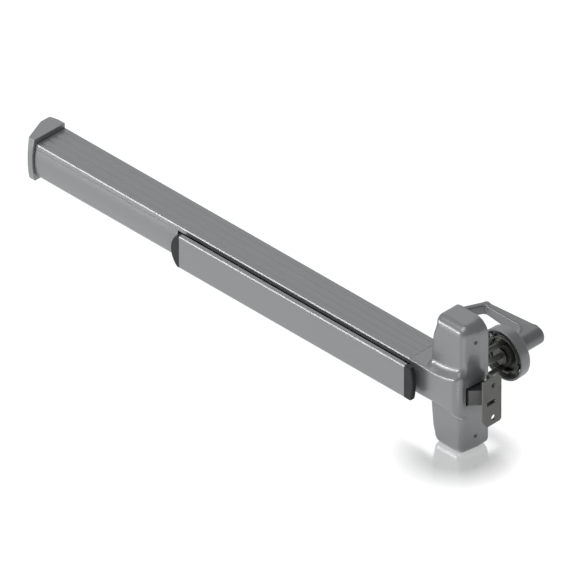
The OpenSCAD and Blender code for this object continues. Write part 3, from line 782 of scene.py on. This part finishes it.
def lever_f(X, Y, Z):
    z = Z - TZ
    rad = np.hypot(X, z)
    neck = rmax(rad - 13.3, Y - (GY + 5.4), 5.0)
    neck = rmax(neck, DT + 17.3 - Y, 0.8)
    # grip: grows in height and depth from its outer end toward the neck
    u = np.clip((X + 93.0) / 88.0, 0, 1)
    top, low = 6.4 + 5.6 * u, 9.4 + 2.6 * u
    inner = GY - 4.9 - 6.0 * u
    out = GY + 4.4 + 0.9 * u
    slab = np.maximum(inner - Y, Y - out)
    ends = np.maximum(-93.0 - 4.6 - X, X - 1.0)
    g = rmax(rmax(slab, z - top, 3.6 - 1.2 * u), -z - low, 3.0)
    g = rmax(g, ends, 4.2)
    side = sstep(-X, -5, 7)
    g = rmin(g, neck, 0.6 + side * (3.4 + 12.0 * sstep(GY - 4 - Y, 0, 8)))
    # leg back toward the door
    d2, t2 = seg2(X, Y, -93.4, GY - 0.6, -118.0, 73.2)
    leg = rmax(d2 - (4.7 - 0.9 * t2), np.abs(z + 1.0) - (7.8 - 0.9 * t2), 2.6)
    g = rmin(g, leg, 3.0)
    g = np.maximum(g, np.abs(z) - 13.3)
    g = np.maximum(g, -np.maximum(rad - 9.05, Y - (DT + 43)))
    g = np.maximum(g, -np.maximum(np.maximum(np.hypot(Y - (DT + 25), z) - 2.2, -X), X - 15))
    return g


lever = sdf_piece("lever_cast", lever_f, (-122.2, 69, TZ - 13.6), (19.2, 130.2, TZ + 13.6), 0.95)
finish_piece(lever, "lever")

R, T = 39.0, 17.0
rose_pts = []
rose_pts += arc(R - 1.0, DT + 1.0, 1.0, -90, 0, 4)
rose_pts += arc(R - 2.0 - 0.4, DT + T - 2.0, 2.0, 8, 90, 7)
rose_pts += arc(13.0, DT + T - 0.6, 0.6, 90, 180, 3)[0:0]
rose_pts += [(12.3, DT + T), (11.7, DT + T - 0.3), (11.3, DT + T - 0.9), (11.3, DT + T - 2.4), (11.6, DT + T - 2.8)]
rose_pts += [(R - 5.0, DT + T - 2.8)]
rose_pts += arc(R - 5.0, DT + T - 4.8, 2.0, 90, 0, 5)
rose_pts += [(R - 3.0, DT + 0.4), (R - 2.6, DT)]
rose = lathe_y("rose_shell", rose_pts, 0.0, TZ, 144)
sharpen(rose, 30)
finish_piece(rose, "rose")
rose.data.materials[0] = M["rose_silver"]


# ---------------------------------------------------------------- springs
def coil_piece(name, origin, axis, r, w, h, turns, closed=0.9):
    """helix of round wire with closed ends, along +X or +/-Y"""
    seg = 30
    total = turns
    n = int(seg * total)
    pts = []
    for i in range(n + 1):
        t = i / n * total
        # the end turns lie flat
        def lift(u):
            if u < closed:
                return u * 2 * w * 1.02
            if u > total - closed:
                return h - 2 * w - (total - u) * 2 * w * 1.02
            a, b = closed * 2 * w * 1.02, h - 2 * w - closed * 2 * w * 1.02
            return a + (b - a) * (u - closed) / (total - 2 * closed)
        a = 2 * math.pi * t
        pts.append((r * math.cos(a), r * math.sin(a), w + lift(t)))
    m = 12
    verts, faces = [], []
    P = np.array(pts)
    T_ = np.gradient(P, axis=0)
    T_ /= np.linalg.norm(T_, axis=1)[:, None]
    for i, p in enumerate(P):
        rad = np.array([p[0], p[1], 0]) / r
        b = np.cross(T_[i], rad)
        for k in range(m):
            q = 2 * math.pi * k / m
            verts.append(p + w * (math.cos(q) * rad + math.sin(q) * b))
    for i in range(len(P) - 1):
        for k in range(m):
            l = (k + 1) % m
            faces.append((i * m + k, i * m + l, (i + 1) * m + l, (i + 1) * m + k))
    faces.append(tuple(range(m - 1, -1, -1)))
    faces.append(tuple((len(P) - 1) * m + k for k in range(m)))
    V = np.array(verts)
    if axis == "x":
        V = V[:, [2, 0, 1]]
    else:
        V = np.stack([V[:, 0], -V[:, 2], V[:, 1]], 1)
    V = V + np.array(origin)
    o = new_piece(name, V, faces)
    sharpen(o, 50)
    return o


ARM_A = 8 / (2 * math.tan(math.radians(19)))
for side, x in (("left", -410.0), ("right", -150.0)):
    o = coil_piece(f"pad_coil_{side}", (x + ARM_A - 46, -2.3, 2.6), "y", 4.6, 0.7, 63.7, 13)
    finish_piece(o, f"pad_spring_{side}")
    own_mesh(o)
o = coil_piece("latch_coil", (-34.9, -32.5, 0), "x", 5.2, 0.6, 44.4, 12)
finish_piece(o, "latch_spring")
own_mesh(o)
o = coil_piece("lever_coil", (0, DT + 8.8, TZ), "y", 26.0, 0.8, 7.2, 3.4, 0.8)
finish_piece(o, "lever_spring")

# ---------------------------------------------------------------- CAD nodes that stay
WIDTH = {"latch_bolt": 0.9, "strike_plate": 0.45, "strike_keeper": 0.45, "spring_cage": 0.4, "mounting_posts": 0.4,
         "lever_hub": 0.35, "tailpiece": 0.35, "rod_guides": 0.6, "pad_bumpers": 0.8, "base_plate": 0.3,
         "cover_screws": 0.2, "lever_set_screw": 0.2, "end_bracket": 0.4}
replaced = {"rail", "rail_cover", "touch_pad", "pad_cap_left", "pad_cap_right", "end_cap", "head_cover", "lever", "rose",
            "pad_spring_left", "pad_spring_right", "latch_spring", "lever_spring"}
for n, o in nodes.items():
    if n in replaced:
        continue
    o.data.materials.clear()
    o.data.materials.append(M[slot_of[n]])
    w = o.modifiers.new("weld", "WELD")
    w.merge_threshold = 2e-6
    bevel(o, WIDTH.get(n, 0.3), 3, 34)

# ---------------------------------------------------------------- floor, light, camera
FLOOR = BOT - 0.05
floor = new_piece("floor", [(-6000, -6000, FLOOR), (6000, -6000, FLOOR), (6000, 6000, FLOOR), (-6000, 6000, FLOOR)], [(0, 1, 2, 3)], False)
fm = Mat("floor_white", (1.0, 1.0, 1.0), 0.0, 0.6, 0.0)
glow = fm.n.new("ShaderNodeEmission")
glow.inputs["Color"].default_value = (1, 1, 1, 1)
glow.inputs["Strength"].default_value = 1.13
gl = fm.n.new("ShaderNodeBsdfGlossy")
gl.inputs["Color"].default_value = (1, 1, 1, 1)
gl.inputs["Roughness"].default_value = 0.15
m1 = fm.n.new("ShaderNodeMixShader")
m1.inputs["Fac"].default_value = 0.90
fm.link(fm.b.outputs["BSDF"], m1.inputs[1])
fm.link(glow.outputs["Emission"], m1.inputs[2])
# the floor is glossier below the head, and its glow drops there too: a painted darker patch, painted shade around the
# head's foot
dist = fm.n.new("ShaderNodeVectorMath")
dist.operation = "DISTANCE"
fm.link(fm.co, dist.inputs[0])
dist.inputs[1].default_value = (0.012, -0.040, FLOOR * MM)
foot_gloss_and_shade_mix = fm.n.new("ShaderNodeMixShader")
# glossy share and painted shade: 0.60 within 45 mm of the head's foot, falling to 0.08 beyond 90 mm
fm.link(fm.mapr(dist.outputs["Value"], 0.045, 0.090, 0.60, 0.08), foot_gloss_and_shade_mix.inputs["Fac"])
fo = next(x for x in fm.n if x.type == "OUTPUT_MATERIAL")
fm.link(m1.outputs["Shader"], foot_gloss_and_shade_mix.inputs[1])
fm.link(gl.outputs["BSDF"], foot_gloss_and_shade_mix.inputs[2])
fm.link(foot_gloss_and_shade_mix.outputs["Shader"], fo.inputs["Surface"])
floor.data.materials.append(fm.m)

world = bpy.data.worlds.new("studio")
bpy.context.scene.world = world
world.use_nodes = True
wn = world.node_tree.nodes
bg = next(x for x in wn if x.type == "BACKGROUND")
bg.inputs["Color"].default_value = (0.97, 0.985, 1.0, 1)
bg.inputs["Strength"].default_value = 0.275


def area(name, direction, dist, size, size_y, power, color=(1, 1, 1), target=(-0.2, -0.03, 0.0)):
    l = bpy.data.lights.new(name, "AREA")
    l.shape = "RECTANGLE"
    l.size, l.size_y = size, size_y
    l.energy = power
    l.color = color
    o = bpy.data.objects.new(name, l)
    coll.objects.link(o)
    d = Vector(direction).normalized()
    o.location = Vector(target) + d * dist
    o.rotation_euler = (-d).to_track_quat("-Z", "Y").to_euler()
    return o


area("key", (-0.14, -0.40, 0.91), 6.0, 4.6, 4.6, 182)
area("strip", (-0.58, -0.78, 0.20), 6.0, 4.4, 0.75, 158)

# white card that the top faces and the floor reflect
away = Vector((-0.578, 0.578, 0.575))
side = Vector((0.7071, 0.7071, 0.0))
rise = side.cross(away).normalized()
ctr = away * 5.0 + Vector((-0.30, 0.0, 0.0))
quad = [ctr + side * a * 2.3 + rise * b * 2.0 for a, b in ((-1, -1), (1, -1), (1, 1), (-1, 1))]
card = new_piece("card", [tuple(c / MM for c in q) for q in quad], [(0, 1, 2, 3)], False)
cm = Mat("card_white", (0.9, 0.9, 0.9), 0.0, 0.8, 0.1)
ce = cm.n.new("ShaderNodeEmission")
ce.inputs["Color"].default_value = (1, 1, 1, 1)
ce.inputs["Strength"].default_value = 1.05
cm.link(ce.outputs["Emission"], next(x for x in cm.n if x.type == "OUTPUT_MATERIAL").inputs["Surface"])
card.data.materials.append(cm.m)

# bright sheet on the floor that the standing edges of the head mirror
ax, sd = Vector((0.7071, -0.7071, 0.0)), Vector((0.7071, 0.7071, 0.0))
foot = Vector((0.028, -0.044, FLOOR * MM + 0.0004))
quad = [foot + ax * a + sd * b for a, b in ((0.128, -0.026), (0.34, -0.085), (0.34, 0.085), (0.128, 0.026))]
sheet = new_piece("floor_sheet", [tuple(c / MM for c in q) for q in quad], [(0, 1, 2, 3)], False)
sm = Mat("sheet_white", (0.9, 0.9, 0.9), 0.0, 0.8, 0.1)
se = sm.n.new("ShaderNodeEmission")
se.inputs["Color"].default_value = (1, 1, 1, 1)
se.inputs["Strength"].default_value = 1.9
sm.link(se.outputs["Emission"], next(x for x in sm.n if x.type == "OUTPUT_MATERIAL").inputs["Surface"])
sheet.data.materials.append(sm.m)

cam = bpy.data.cameras.new("camera")
cam.lens = 1650
cam.sensor_width = 36
cam.clip_start, cam.clip_end = 5.0, 100.0
co = bpy.data.objects.new("camera", cam)
coll.objects.link(co)
right = Vector((0.7075368853, 0.7066759733, -0.0007904680))
up = Vector((-0.4059023091, 0.4073119417, 0.8181322006))
back = Vector((0.5784763361, -0.5785378561, 0.5750296320))
rows = [(right[i], up[i], back[i]) for i in range(3)]
co.matrix_world = Matrix(rows).to_4x4()
co.location = (20.0561765, -20.4117663, 20.2620655)
bpy.context.scene.camera = co
bpy.context.scene.view_settings.view_transform = "Standard"
bpy.context.scene.view_settings.look = "None"

bpy.context.view_layer.update()
